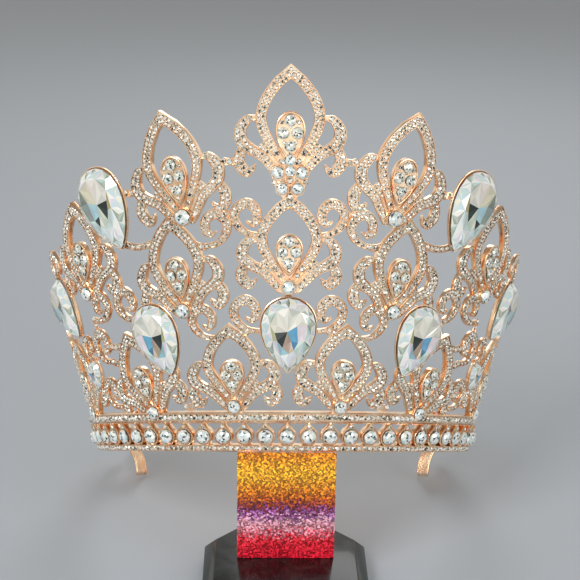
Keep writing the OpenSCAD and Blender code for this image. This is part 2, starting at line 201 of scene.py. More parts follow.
def ribbon(place, lean, path, face, back, mitred=None):
    """Sweeps the ribbon's section along a path, wider at its mitred corner, and marks where
    its stones go."""
    normals = path_normals(path)
    rings = []
    for i, ((x, y, w), n) in enumerate(zip(path, normals)):
        widen = TIP_MITRE if i == mitred else 1
        ring = []
        for side, inward, level, step in RIBBON_SECTION:
            off = side * (w / 2 - min(inward, w * MOST_INWARD)) * widen
            out = face - min(step, w * MOST_DEPTH) if level == "face" else back + step
            ring.append(laid(place, lean, x + n.x * off, y + n.y * off, out))
        rings.append(ring)
    skin(rings)
    # An end with no width closes the last run of stones
    ended = [*zip(path, normals), ((0, 0, 0), Vector((0, 0)))]
    for rows, least, most, lines in ((fine_rows, TWO_ROWS_W, math.inf, (1, -1)),
                                     (single_rows, ONE_ROW_W, TWO_ROWS_W, (0,))):
        for line in lines:
            run = []
            for (x, y, w), n in ended:
                if least <= w < most:
                    off = line * (w - TWO_ROWS_APART) / 4
                    r = ((w - TWO_ROWS_RIMS) / 4 if line
                         else min(LARGEST_PAVED_R, (w - ONE_ROW_RIMS) / 2))
                    run.append((laid(place, lean, x + n.x * off, y + n.y * off,
                                     face - PAVED_DEPTH), r))
                elif run:
                    if len(run) > 2:
                        keep_row(rows, run)
                    run = []


def drop_outline(length, width, n):
    """A drop's outline, its tip first and downwards."""
    return [
        (width / 2 / WIDEST_OUT * math.sin(t) * math.sin(t / 2) ** DRAWN_IN,
         -length / 2 * math.cos(t))
        for t in (2 * math.pi * i / n for i in range(n))
    ]


def set_foot_stone(place, r):
    """A cup, and the place of the round stone in it."""
    skin([[laid(place, 0, x * (r * share + more), y * (r * share + more), out)
           for x, y in CUP_OUTLINE] for share, more, out in CUP_RINGS])
    keep_stone(foot_stones, laid(place, 0, 0, 0, ROUND_STONE_SEAT), r)


def leaf(angle, foot, lean, tall, half, stone_r):
    place = (angle, foot)

    def drawn(rows, side, steps):
        return smooth_path([(side * x * half, y * tall, w * RIBBON_W) for x, y, w in rows], steps)

    right = drawn(LOOP[:-1], 1, LOOP_STEPS)
    tip = (0, LOOP[-1][1] * tall, RIBBON_W)
    right.append(tuple((p + q) / 2 for p, q in zip(right[-1], tip)))
    left = [(-x, y, w) for x, y, w in reversed(right)]
    ribbon(place, lean, right + [tip] + left, LOOP_FACE, LOOP_BACK, mitred=len(right))
    for side in BOTH:
        ribbon(place, lean, drawn(EAR, side, EAR_STEPS), EAR_FACE, EAR_BACK)
        ribbon(place, lean, drawn(CURL, side, EAR_STEPS), CURL_FACE, CURL_BACK)
    # The raised plate, its rim rounded over
    length, width, middle = tall * PLATE_LENGTH, half * PLATE_WIDTH, tall * PLATE_MIDDLE
    outline = [(x, y + middle) for x, y in drop_outline(length, width, PLATE_CORNERS)]
    centre = middle + length * PLATE_CENTRE

    def grown(mm):
        s = (width / 2 + mm) / (width / 2)
        return [(x * s, centre + (y - centre) * s) for x, y in outline]

    skin([[laid(place, lean, x, y, out) for x, y in grown(mm)] for mm, out in PLATE_RINGS])
    for x, y, r in PLATE_STONES:
        keep_stone(plate_stones if r > LEAST_ROUND_CUT else set_stones,
                   laid(place, lean, x * half, y * tall, PLATE_SEAT), r * half / WIDEST_LEAF)
    for side in BOTH:
        skin([[laid(place, lean, side * x * half, y * tall, out) for x, y in WEB]
              for out in (WEB_BACK, WEB_FACE)])
        for x, y, r in WEB_STONES:
            keep_stone(set_stones, laid(place, lean, side * x * half, y * tall, WEB_SEAT),
                       r * half / WIDEST_LEAF)
    fall = stone_r + FOOT_STONE_FALL
    across = fall * math.tan(math.radians(lean)) / wall_radius(foot)
    set_foot_stone((angle - math.degrees(across), foot - fall), stone_r)


for row in LEAF_PLACES:
    sides = BOTH if row[0] else MIDDLE
    leaf(*row)

# The comma scrolls between the motifs are the same ribbon of cast zinc alloy, curled in on
# itself, and hold paved stones too. They are cast in one with the motifs.
SCROLL = [  # across and up as shares of its size, width as a share of the ribbon's
    (0.46, -0.62, 0.5), (0.03, -0.56, 0.62), (-0.29, -0.31, 0.8), (-0.41, 0.08, 0.95),
    (-0.20, 0.37, 1.0), (0.09, 0.43, 1.0), (0.34, 0.18, 0.97), (0.33, -0.13, 0.85),
    (0.16, -0.25, 0.55), (-0.02, -0.14, 0.18),
]
FULL_SCROLL, SCROLL_STEPS = 10.5, 5
SCROLL_FACE, SCROLL_BACK = -0.35, -METAL_T + 0.45
SCROLL_PLACES = [  # angle, height, turn, side that it opens to, size
    (8.7, 79.6, 0, 1, 10), (9.8, 47.5, 0, 1, 10), (15.3, 76.4, 0, -1, 10),
    (20.2, 45, 0, 1, 9.6), (41, 52.3, 10, 1, 10.2), (50, 52, -20, -1, 9.4),
    (53.8, 38.4, 0, 1, 10), (78, 54, 10, 1, 9), (54.6, 21.3, 0, 1, 9),
    (61.6, 38.3, 0, 1, 7.4), (86.6, 19.7, 0, 1, 9), (69.8, 70, 0, 1, 10),
    (82.5, 36, 0, 1, 9), (84.4, 45.6, 0, -1, 9),
]


def comma_scroll(angle, height, turn, opens, size):
    rows = [(-opens * x * size, y * size, w * RIBBON_W * size / FULL_SCROLL)
            for x, y, w in SCROLL]
    ribbon((angle, height), turn, smooth_path(rows, SCROLL_STEPS), SCROLL_FACE, SCROLL_BACK)


sides = BOTH
for row in SCROLL_PLACES:
    comma_scroll(*row)

# Short bars of cast zinc alloy, set with paved stones, join the motifs, scrolls and
# settings. They lie a little behind their faces, and their ends are sunk into them.
BARS = [  # angle, height, across, up
    (10.3, 98, 4.2, 0), (11.4, 80.6, 3, 0), (9.6, 41, 2, 0), (25, 15.6, 3.4, 0),
    (31.8, 90, 5, 0), (29.8, 72.4, 13, 0.4), (44.6, 38, 9, 0.4), (72, 54, 5.4, 0),
    (17.4, 70.2, 4.2, 0.6), (54.1, 43.7, 0.4, 4.6), (47.4, 31.4, 4.4, 0.9),
    (73, 49.2, 2.6, -0.2), (100.5, 1.2, 0, 10), (111.6, 1.2, 0, 10),
]
BAR_W, BAR_FACE, BAR_BACK, BAR_BOW = 2.5, -0.6, -METAL_T + 1.2, 0.1


def set_bar(angle, height, across, up):
    steps = max(4, round(abs(across) + abs(up)))
    bow = BAR_BOW * abs(across)
    path = [(across * k / steps, up * k / steps - bow * math.sin(math.pi * k / steps), BAR_W)
            for k in range(steps + 1)]
    ribbon((angle, height), 0, path, BAR_FACE, BAR_BACK)


for row in BARS:
    set_bar(*row)

# Under the tallest motif, small cups on a web of cast zinc alloy hold a cluster of round
# stones. Two more set bars on the middle line join the motifs and the centre drop.
TOP_WEB = [
    (0, 99.5), (2.6, 99.2), (6.2, 95.8), (6.0, 92.6), (4.4, 88.0), (2.2, 85.6), (1.0, 82.5),
    (0, 82.5),
]
TOP_WEB_BACK, TOP_WEB_FACE = -2.0, -0.9
TOP_FILLERS = [  # across, height, radius
    (0, 91.4, 1.05), (0, 86.2, 1.1), (5.1, 90.9, 0.9), (2.2, 97.2, 0.8),
]
TOP_CLUSTER = [(3.9, 94, 2), (2.5, 88.8, 1.9), (0, 98.1, 1.8)]
CENTRE_BARS = [(0, 93.5, 0, -7.5), (0, 55.5, 0, -3.5)]
skin([[laid((0, 0), 0, x, y, out) for x, y in TOP_WEB] for out in (TOP_WEB_BACK, TOP_WEB_FACE)])
for x, height, r in TOP_FILLERS:
    sides = BOTH if x else MIDDLE
    keep_stone(set_stones, laid((0, 0), 0, x, height, PLATE_SEAT), r)
for x, height, r in TOP_CLUSTER:
    sides = BOTH if x else MIDDLE
    set_foot_stone((math.degrees(x / wall_radius(height)), height), r)
sides = MIDDLE
for row in CENTRE_BARS:
    set_bar(*row)

# The band is two rails of cast zinc alloy, each with a channel for one row of paved stones,
# and between them a row of peaked cups for the round stones, all soldered together.
BAND_HALF_ANGLE = 113
RAILS = [  # foot, height, face, height of its row of stones, their radius
    (0, 2.3, 0.5, 1.15, 0.95), (9.9, 3.8, 0.4, 11.9, 1.05),
]
# How far in from a rail's edges its rounding, rim and channel end, and the channel's depth
RAIL_EDGE, RAIL_RIM, RAIL_CHANNEL, RAIL_DEPTH = 0.2, 0.45, 0.6, 0.35
# Its stones end a degree short of it and sit a little over its channel's floor
RAIL_STEPS, RAIL_ROW_STEPS, RAIL_ROW_SHORT, RAIL_ROW_SEAT = 39, 120, 1, 0.14
rail_row_end = math.radians(BAND_HALF_ANGLE - RAIL_ROW_SHORT) * BAND_R
for low, tall, face, row_height, r in RAILS:
    top = low + tall
    section = [
        (low, -METAL_T + RAIL_EDGE), (low, face - RAIL_EDGE), (low + RAIL_EDGE, face),
        (low + RAIL_RIM, face), (low + RAIL_CHANNEL, face - RAIL_DEPTH),
        (top - RAIL_CHANNEL, face - RAIL_DEPTH), (top - RAIL_RIM, face),
        (top - RAIL_EDGE, face), (top, face - RAIL_EDGE), (top, -METAL_T + RAIL_EDGE),
        (top - RAIL_EDGE, -METAL_T), (low + RAIL_EDGE, -METAL_T),
    ]
    skin([[(math.radians(BAND_HALF_ANGLE * k / RAIL_STEPS) * BAND_R, height, out)
           for height, out in section] for k in range(-RAIL_STEPS, RAIL_STEPS + 1)])
    single_rows.append([((rail_row_end * k / RAIL_ROW_STEPS, row_height, RAIL_ROW_SEAT), r)
                        for k in range(-RAIL_ROW_STEPS, RAIL_ROW_STEPS + 1)])
BAND_STONE_HEIGHT, BAND_STONE_R, BAND_PITCH, BAND_SIDE_COUNT = 5.4, 2.5, 5.78, 16
# A cup's outline is an arc, open at the top and closed there by a peak
BAND_CUP_R = BAND_STONE_R + 0.75
BAND_CUP = [(BAND_CUP_R * math.cos(math.radians(a)), BAND_CUP_R * math.sin(math.radians(a)))
            for a in range(142, 400, 12)]
BAND_CUP += [(1.5, 3.15), (0.55, 4.3), (0.0, 4.9), (-0.55, 4.3), (-1.5, 3.15)]
BAND_CUP_RINGS = [  # share of the outline, height
    (0.96, -METAL_T + 0.2), (1, -METAL_T + 0.4), (1, 0.5), (0.96, 0.74), (0.88, 0.76),
    (0.82, 0.45), (0.4, 0.3),
]
PEAK_STONE_UP, PEAK_STONE_SEAT, PEAK_STONE_R = 3.45, 0.5, 0.7
band_stones = []
for k in range(BAND_SIDE_COUNT + 1):
    sides = BOTH if k else MIDDLE
    place = (k * BAND_PITCH, BAND_STONE_HEIGHT)
    skin([[laid(place, 0, x * s, y * s, out) for x, y in BAND_CUP] for s, out in BAND_CUP_RINGS])
    keep_stone(set_stones, laid(place, 0, 0, PEAK_STONE_UP, PEAK_STONE_SEAT), PEAK_STONE_R)
    keep_stone(band_stones, laid(place, 0, 0, 0, ROUND_STONE_SEAT), BAND_STONE_R)

# The drop stones' settings are thin rims of zinc alloy that follow the stones, flat and not
# bent round the wall. A floor in each holds the foiled back. They are soldered on.
LEAN_BACK = math.radians(28)
SEAT = Vector((0, 2.6, 50.8))  # just over the upright's top front edge
AXIS_BACK = BAND_R + 0.8  # how far behind it the wall's axis is, before the crown leans
DROPS = [  # name, angle, height of the middle, lean, length, width
    ("centre_drop", 0, 40.2, 0, 25, 18),
    ("low_drop", 32.4, 39.1, 17, 25, 18),
    ("top_drop", 40.5, 85.4, 18, 29, 21),
    ("outer_drop", 67.2, 53.4, 34, 25, 18),
    ("side_drop", 59.5, 28.5, 12, 10, 8),
]
RIM_T, DROP_SEAT, SETTING_CORNERS = 0.8, 1.0, 48
FLOOR_IN, FLOOR_DIP = 0.25, 0.05  # how far in the floor's middle starts, and how deep it is
SETTING_BACK = -METAL_T + 0.2
RIM_UP = METAL_T + 0.4 - 0.2
SETTING_RINGS = [  # grown by, height above its back
    (-1.3, 0.5), (-0.7, 0.7), (RIM_T - 0.5, RIM_UP - 0.9), (RIM_T - 0.2, RIM_UP - 0.35),
    (RIM_T - 0.22, RIM_UP - 0.08), (RIM_T - 0.38, RIM_UP), (0.26, RIM_UP - 0.04),
    (0.12, RIM_UP - 0.3), (0.02, DROP_SEAT + 0.3),
]
# From the crown's own axes, on its middle line at the band's foot, to where it leans
crown_pose = (Matrix.Translation(SEAT) @ Matrix.Rotation(-LEAN_BACK, 4, "X")
              @ Matrix.Translation((0, AXIS_BACK, 0)))
setting_points, setting_faces = [], []


def on_wall(angle, height, lean, out):
    """Where a flat piece sits on the wall, in millimetres, its face along local Z."""
    return (
        crown_pose
        @ Matrix.Rotation(math.radians(angle), 4, "Z")
        @ Matrix.Translation((0, -wall_radius(height), height * math.cos(FLARE)))
        @ Matrix.Rotation(math.radians(90) + FLARE, 4, "X")
        @ Matrix.Rotation(-math.radians(lean), 4, "Z")
        @ Matrix.Translation((0, 0, out))
    )


def in_metres(points, side):
    """Points of the right side, or their mirror images, in metres."""
    return [(side * p.x * MM, p.y * MM, p.z * MM) for p in points]


def drop_setting(angle, height, lean, length, width, side):
    place = on_wall(angle, height, lean, SETTING_BACK)
    rings = SETTING_RINGS + [(-width * FLOOR_IN, DROP_SEAT - FLOOR_DIP)]
    setting_faces.extend(tube_faces(len(setting_points), len(rings), SETTING_CORNERS))
    for mm, out in rings:
        outline = drop_outline(length + 2 * mm, width + 2 * mm, SETTING_CORNERS)
        setting_points.extend(in_metres([place @ Vector((x, y, out)) for x, y in outline], side))


for name, *drop in DROPS:
    for side in BOTH if drop[0] else MIDDLE:
        drop_setting(*drop, side)

# The frame: the openwork is bent round the wall, part of a cone that leans back on the
# stand, and soldered to the settings. All of it is polished and plated in rose gold.
SHARP_FROM = math.radians(32)


def plug(node, inputs):
    """Gives a node's inputs their values and links. A node given means its first output."""
    for key, value in dict(inputs).items():
        if isinstance(value, bpy.types.Node):
            value = value.outputs[0]
        if isinstance(value, bpy.types.NodeSocket):
            node.id_data.links.new(value, node.inputs[key])
        else:
            node.inputs[key].default_value = value
    return node


def add(tree, kind, inputs=(), **settings):
    """Adds a node with its settings and links."""
    node = tree.nodes.new(kind)
    for name, value in settings.items():
        setattr(node, name, value)
    return plug(node, inputs)


def linear(colour):
    """An sRGB hex value as linear red, green, blue and alpha."""
    parts = [int(colour[i:i + 2], 16) / 255 for i in (1, 3, 5)]
    return tuple(p / 12.92 if p <= 0.04045 else ((p + 0.055) / 1.055) ** 2.4
                 for p in parts) + (1,)


def set_stops(ramp, stops):
    """Gives a ramp its colours, each from its place along it."""
    for i, (where, colour) in enumerate(stops):
        element = ramp.elements[i] if i < 2 else ramp.elements.new(where)
        element.position = where
        element.color = linear(colour)


def new_material(name, settings):
    """A material, its node tree and its shader, with the shader's plain settings."""
    material = bpy.data.materials.new(name)
    material.use_nodes = True
    tree = material.node_tree
    return material, tree, plug(tree.nodes["Principled BSDF"], settings)


def object_from(name, points, faces, edges=()):
    mesh = bpy.data.meshes.new(name)
    mesh.from_pydata(points, edges, faces)
    mesh.validate()
    obj = bpy.data.objects.new(name, mesh)
    bpy.context.scene.collection.objects.link(obj)
    return obj


def new_tree(name, *inputs):
    """A geometry tree with named inputs, and the node that they come in at."""
    tree = bpy.data.node_groups.new(name, "GeometryNodeTree")
    for socket, kind in (("Geometry", "Geometry"), *inputs, ("Material", "Material")):
        tree.interface.new_socket(socket, in_out="INPUT", socket_type="NodeSocket" + kind)
    tree.interface.new_socket("Geometry", in_out="OUTPUT", socket_type="NodeSocketGeometry")
    return tree, add(tree, "NodeGroupInput")


def end_tree(tree, given, geometry):
    real = add(tree, "GeometryNodeRealizeInstances", {"Geometry": geometry})
    made = add(tree, "GeometryNodeSetMaterial",
               {"Geometry": real, "Material": given.outputs["Material"]})
    add(tree, "NodeGroupOutput", {0: made})


def made_plain(obj, tree, inputs):
    """Runs a geometry tree on an object and keeps the result as its own mesh."""
    modifier = obj.modifiers.new(tree.name, "NODES")
    modifier.node_group = tree
    sockets = {s.name: s.identifier for s in tree.interface.items_tree if s.in_out == "INPUT"}
    for name, value in inputs.items():
        modifier[sockets[name]] = value
    graph = bpy.context.evaluated_depsgraph_get()
    result = bpy.data.meshes.new_from_object(obj.evaluated_get(graph), depsgraph=graph)
    obj.modifiers.remove(modifier)
    obj.data = result
    return obj


def bend_nodes(tree, position):
    """Adds the nodes that take a flat point, in millimetres, to its place in metres, and
    gives the wall's outward direction there too."""
    flat = add(tree, "ShaderNodeSeparateXYZ", {0: position})
    minus_out = add(tree, "ShaderNodeMath", {0: flat.outputs["Z"], 1: -1.0}, operation="MULTIPLY")
    angle = add(tree, "ShaderNodeMath", {0: flat.outputs["X"], 1: BAND_R}, operation="DIVIDE")
    upright = add(tree, "ShaderNodeCombineXYZ", {"Y": minus_out, "Z": flat.outputs["Y"]})
    flared = add(tree, "ShaderNodeVectorRotate",
                 {"Vector": upright, "Angle": FLARE}, rotation_type="X_AXIS")
    outer = add(tree, "ShaderNodeVectorMath", {0: flared, 1: (0, -BAND_R, 0)}, operation="ADD")
    turned = add(tree, "ShaderNodeVectorRotate",
                 {"Vector": outer, "Angle": angle}, rotation_type="Z_AXIS")
    hinged = add(tree, "ShaderNodeVectorMath", {0: turned, 1: (0, AXIS_BACK, 0)}, operation="ADD")
    leant = add(tree, "ShaderNodeVectorRotate",
                {"Vector": hinged, "Angle": -LEAN_BACK}, rotation_type="X_AXIS")
    seated = add(tree, "ShaderNodeVectorMath", {0: leant, 1: tuple(SEAT)}, operation="ADD")
    metres = add(tree, "ShaderNodeVectorMath", {0: seated, "Scale": MM}, operation="SCALE")
    face = add(tree, "ShaderNodeVectorRotate",
               {"Vector": (0, -1, 0), "Angle": FLARE}, rotation_type="X_AXIS")
    face_turned = add(tree, "ShaderNodeVectorRotate",
                      {"Vector": face, "Angle": angle}, rotation_type="Z_AXIS")
    outward = add(tree, "ShaderNodeVectorRotate",
                  {"Vector": face_turned, "Angle": -LEAN_BACK}, rotation_type="X_AXIS")
    return metres, outward


def made_one(mesh, others=(), broken=0):
    """Joins meshes, turns their faces outwards, and breaks their edges where asked."""
    body = bmesh.new()
    for part in (mesh, *others):
        body.from_mesh(part)
    bmesh.ops.recalc_face_normals(body, faces=body.faces)
    if broken:
        bmesh.ops.bevel(body, geom=body.edges, offset=broken * MM, segments=3, profile=0.5,
                        affect="EDGES")
    body.to_mesh(mesh)
    body.free()


def smooth_between_edges(mesh):
    mesh.shade_smooth()
    mesh.set_sharp_from_angle(angle=SHARP_FROM)


def finished(obj, node=None):
    """Lets a piece ride on the body and stand for its node, whose part is hidden."""
    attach(obj, "root")
    if node:
        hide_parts(node)


# Rose-gold electroplate on polished cast zinc alloy: a soft-edged mirror, pinker and darker
# in cloudy patches about 4 mm across
rose_gold, gold_tree, gold_shader = new_material(
    "rose_gold_electroplate_on_polished_casting", {"Metallic": 1.0})
gold_coords = add(gold_tree, "ShaderNodeTexCoord")
gold_cloud = add(gold_tree, "ShaderNodeTexNoise",
                 {"Vector": gold_coords.outputs["Object"], "Scale": 240.0, "Detail": 3.0})
gold_tone = add(gold_tree, "ShaderNodeValToRGB", {"Fac": gold_cloud})
set_stops(gold_tone.color_ramp, [(0.35, "#f5c49b"), (0.65, "#ffe6c8")])
gold_rough = add(gold_tree, "ShaderNodeMapRange",
                 {"Value": gold_cloud, "To Min": 0.16, "To Max": 0.3})
# Casting skin left by polishing, about 0.4 mm
gold_skin = add(gold_tree, "ShaderNodeTexNoise",
                {"Vector": gold_coords.outputs["Object"], "Scale": 2400.0, "Detail": 2.0})
gold_bump = add(gold_tree, "ShaderNodeBump",
                {"Height": gold_skin, "Strength": 0.12, "Distance": 0.0001})
plug(gold_shader, {"Base Color": gold_tone, "Roughness": gold_rough, "Normal": gold_bump})

bend_tree, bend_in = new_tree("bend_round_the_wall")
bent_place = bend_nodes(bend_tree, add(bend_tree, "GeometryNodeInputPosition"))[0]
bent = add(bend_tree, "GeometryNodeSetPosition", {"Geometry": bend_in, "Position": bent_place})
end_tree(bend_tree, bend_in, bent)
crown_metal = made_plain(object_from("crown_metal", metal_points, metal_faces), bend_tree,
                         {"Material": rose_gold})
drop_settings = object_from("drop_settings", setting_points, setting_faces)
made_one(crown_metal.data, [drop_settings.data])
bpy.data.objects.remove(drop_settings)
smooth_between_edges(crown_metal.data)
finished(crown_metal, "crown_frame")

# The paved stones are small foil-backed cut lead glass, glued in cups along the ribbons and
# rails. Each is a seven-sided crown with a flat table. Geometry nodes set them along rows.
PAVE_SIDES, PAVE_FACET_STEP, PAVE_TABLE = 7, 0.381, (0.45,)
PAVE_LEVELS = [(0.97, 0), (1.0, 0.25), (0.55, 0.68)]  # radius, height


def foiled_glass(name, colours, tint_share):
    """Foiled glass whose facets carry painted reflections and painted shade as their colours,
    set off from stone to stone.
    """
    glass, tree, shader = new_material(name, {
        "Metallic": 0.3, "Roughness": 0.09, "Coat Weight": 0.8, "Coat Roughness": 0.02})
    facet = add(tree, "ShaderNodeAttribute", attribute_name="facet")
    tint = add(tree, "ShaderNodeAttribute", attribute_name="tint")
    shift = add(tree, "ShaderNodeMath",
                {0: tint.outputs["Fac"], 1: tint_share, 2: facet.outputs["Fac"]},
                operation="MULTIPLY_ADD")
    pick = add(tree, "ShaderNodeMath", {0: shift}, operation="FRACT")
    painted_reflections = add(tree, "ShaderNodeValToRGB", {"Fac": pick})
    painted_reflections.color_ramp.interpolation = "CONSTANT"
    set_stops(painted_reflections.color_ramp, colours)
    plug(shader, {"Base Color": painted_reflections})
    return glass


def cut_template(name, levels, count, facet_step, table_picks, table_centre=None):
    """A unit stone: rings of corners, each turned half a side, joined by triangles. A table
    with a centre is split into the back's facets, as they show through it. Each facet has
    its place among the glass's colours, which are painted reflections and painted shade."""
    points, faces = [], []
    for k, (r, z) in enumerate(levels):
        for i in range(count):
            a = 2 * math.pi * (i + 0.5 * (k % 2)) / count
            points.append((r * math.cos(a), r * math.sin(a), z))
    for k in range(len(levels) - 1):
        for i in range(count):
            j = (i + 1) % count
            low, high = k * count, (k + 1) * count
            if k % 2:
                faces += [(low + i, low + j, high + j), (low + i, high + j, high + i)]
            else:
                faces += [(low + i, low + j, high + i), (low + j, high + j, high + i)]
    rim = (len(levels) - 1) * count
    if table_centre is None:
        faces.append(tuple(rim + i for i in range(count)))
    else:
        points.append(table_centre)
        faces += [(rim + i, rim + (i + 1) % count, rim + count) for i in range(count)]
    obj = object_from(name, points, faces)
    picks = [(i * facet_step) % 1.0 for i in range(len(faces) - len(table_picks))]
    share = obj.data.attributes.new("facet", "FLOAT", "FACE")
    share.data.foreach_set("value", picks + list(table_picks))
    return obj


set_tree, stones_in = new_tree("stones_along_rows", ("Stone", "Object"), ("Pitch", "Float"),
                                ("Tilt", "Float"), ("Seed", "Int"))
stone_place, stone_outward = bend_nodes(set_tree, add(set_tree, "GeometryNodeInputPosition"))
outward_stored = add(set_tree, "GeometryNodeStoreNamedAttribute",
                     {"Geometry": stones_in, "Name": "outward", "Value": stone_outward},
                     data_type="FLOAT_VECTOR", domain="POINT")
places_bent = add(set_tree, "GeometryNodeSetPosition",
                  {"Geometry": outward_stored, "Position": stone_place})
# Points with neighbours are rows, which are spaced out evenly, and the rest stand alone
rows_joined = add(set_tree, "GeometryNodeMeshToCurve", {"Mesh": places_bent})
rows_even = add(set_tree, "GeometryNodeResampleCurve",
                {"Curve": rows_joined, "Length": stones_in.outputs["Pitch"]}, mode="LENGTH")
row_points = add(set_tree, "GeometryNodeCurveToPoints", {"Curve": rows_even}, mode="EVALUATED")
near_points = add(set_tree, "GeometryNodeInputMeshVertexNeighbors")
stands_alone = add(set_tree, "FunctionNodeCompare", {2: near_points.outputs["Vertex Count"], 3: 0},
                   data_type="INT", operation="EQUAL")
lone_points = add(set_tree, "GeometryNodeMeshToPoints",
                  {"Mesh": places_bent, "Selection": stands_alone})
all_points = add(set_tree, "GeometryNodeJoinGeometry")
plug(all_points, {0: row_points})
plug(all_points, {0: lone_points})
# Each stone faces outwards at its own radius
outward_kept = add(set_tree, "GeometryNodeInputNamedAttribute", {"Name": "outward"},
                   data_type="FLOAT_VECTOR")
facing_out = add(set_tree, "FunctionNodeAlignRotationToVector", {"Vector": outward_kept}, axis="Z")
stone_radius = add(set_tree, "GeometryNodeInputNamedAttribute", {"Name": "stone_r"},
                   data_type="FLOAT")
stone_size = add(set_tree, "ShaderNodeMath", {0: stone_radius, 1: MM}, operation="MULTIPLY")
stone_given = add(set_tree, "GeometryNodeObjectInfo", {"Object": stones_in.outputs["Stone"]})
stones_set = add(set_tree, "GeometryNodeInstanceOnPoints",
                 {"Points": all_points, "Instance": stone_given.outputs["Geometry"],
                  "Rotation": facing_out, "Scale": stone_size})
# It tilts a little as set by hand, is turned anyhow, and has its own tint: a random shift through
# the glass's painted reflections and shade
tilt_back = add(set_tree, "ShaderNodeMath", {0: stones_in.outputs["Tilt"], 1: -1.0},
                operation="MULTIPLY")
least_turn = add(set_tree, "ShaderNodeCombineXYZ", {"X": tilt_back, "Y": tilt_back})
most_turn = add(set_tree, "ShaderNodeCombineXYZ",
                {"X": stones_in.outputs["Tilt"], "Y": stones_in.outputs["Tilt"], "Z": 6.28})
hand_turn = add(set_tree, "FunctionNodeRandomValue",
                {0: least_turn, 1: most_turn, "Seed": stones_in.outputs["Seed"]},
                data_type="FLOAT_VECTOR")
stones_turned = add(set_tree, "GeometryNodeRotateInstances",
                    {"Instances": stones_set, "Rotation": hand_turn})
stone_tint = add(set_tree, "FunctionNodeRandomValue",
                 {2: 0.0, 3: 1.0, "Seed": stones_in.outputs["Seed"]}, data_type="FLOAT")
stones_tinted = add(set_tree, "GeometryNodeStoreNamedAttribute",
                    {"Geometry": stones_turned, "Name": "tint", "Value": stone_tint.outputs[1]},
                    data_type="FLOAT", domain="INSTANCE")
end_tree(set_tree, stones_in, stones_tinted)


def set_by_hand(name, stone, glass, rows=(), singles=(), pitch=2.0, tilt=0.08, seed=0,
                node=None):
    """Sets stones evenly along rows of places, and one at each single place."""
    placed, edges = [], []
    for row in rows:
        edges += [(len(placed) + i, len(placed) + i + 1) for i in range(len(row) - 1)]
        placed += row
    placed += singles
    obj = object_from(name, [place for place, r in placed], [], edges)
    share = obj.data.attributes.new("stone_r", "FLOAT", "POINT")
    share.data.foreach_set("value", [r for place, r in placed])
    made_plain(obj, set_tree, {"Stone": stone, "Pitch": pitch * MM, "Tilt": tilt, "Seed": seed,
                               "Material": glass})
    finished(obj, node)


# Paved stones are small, so a whole stone flashes white or goes olive-grey as it turns. These
# flashes and greys are painted into the colours: painted highlights and painted shade.
pave_glass = foiled_glass("foiled_lead_glass_small_cut", [
    (0.0, "#faf6ee"), (0.16, "#eadcc8"), (0.3, "#a69c84"), (0.42, "#faf4ea"),
    (0.55, "#e2c8b2"), (0.62, "#c8dad6"), (0.69, "#757260"), (0.79, "#34352e"),
    (0.89, "#fffcf4")], 1.0)
pave_stone = cut_template("pave_template", PAVE_LEVELS, PAVE_SIDES, PAVE_FACET_STEP, PAVE_TABLE)
set_by_hand("paved_fine_stones", pave_stone, pave_glass, rows=fine_rows, pitch=1.42, tilt=0.2,
            seed=3)
set_by_hand("paved_single_stones", pave_stone, pave_glass, rows=single_rows, singles=set_stones,
            tilt=0.12, seed=6)
bpy.data.objects.remove(pave_stone)

# The round stones of the band, of the motifs' feet and on the raised plates: cut lead glass
# with a wide table, star and kite facets, foiled behind and pressed into their cups.
ROUND_SIDES, ROUND_FACET_STEP, ROUND_CENTRE = 8, 0.618, (0.06, 0.04, 0.6)
ROUND_LEVELS = [(0.98, 0), (1.0, 0.18), (0.82, 0.4), (0.5, 0.58)]  # radius, height
# Where the eight facets of the table's star fall among the glass's colours, the painted light and
# painted shade of the back
STAR_PICKS = (0.62, 0.95, 0.7, 0.05, 0.66, 0.3, 0.56, 0.0)
# They show the back's facets as a star of painted reflections, white and aqua, with a few in
# painted shade
round_glass = foiled_glass("foiled_lead_glass_round_cut", [
    (0.0, "#ffffff"), (0.14, "#d6edf0"), (0.26, "#f8f5e4"), (0.4, "#93a5a2"),
    (0.47, "#ffffff"), (0.62, "#c6e3ea"), (0.7, "#4a5551"), (0.79, "#fbfcf6"),
    (0.9, "#e6efe6")], 0.22)
# The plates' stones lie deeper in their metal: their colours are darker and warmer, painted shade
# and a painted reflection of the metal around them
plate_glass = foiled_glass("foiled_lead_glass_round_cut_warm", [
    (0.0, "#fffcf2"), (0.14, "#bcd0ce"), (0.26, "#e6dfc6"), (0.4, "#6c7467"),
    (0.47, "#ffffff"), (0.62, "#a3bcbc"), (0.7, "#2b312c"), (0.79, "#f8f5e8"),
    (0.9, "#cbccbb")], 0.22)
round_stone = cut_template("round_template", ROUND_LEVELS, ROUND_SIDES, ROUND_FACET_STEP,
                           STAR_PICKS, ROUND_CENTRE)
set_by_hand("band_chatons", round_stone, round_glass, singles=band_stones, seed=7,
            node="band_stones")
set_by_hand("foot_chatons", round_stone, round_glass, singles=foot_stones, seed=9,
            node="foot_stones")
set_by_hand("inset_chatons", round_stone, plate_glass, singles=plate_stones, tilt=0.1, seed=11)
bpy.data.objects.remove(round_stone)

# The large drop stones: pear-cut lead glass with a foiled pavilion, held by their rims. The
# table shows the pavilion's long facets meeting near the middle, pale, blue and dark, all
# painted into the facets' colours as painted reflections and painted shade.
PEAR_TALL, STONE_GAP = 4.8, 0.12
FULL_LENGTH = 25  # shorter stones are less tall
# The girdle, the middle of the crown and the table, as shares of the stone's height
GIRDLE_UP, CROWN_UP, TABLE_UP, SEAT_SHARE = 0.42, 0.72, 0.93, 0.8
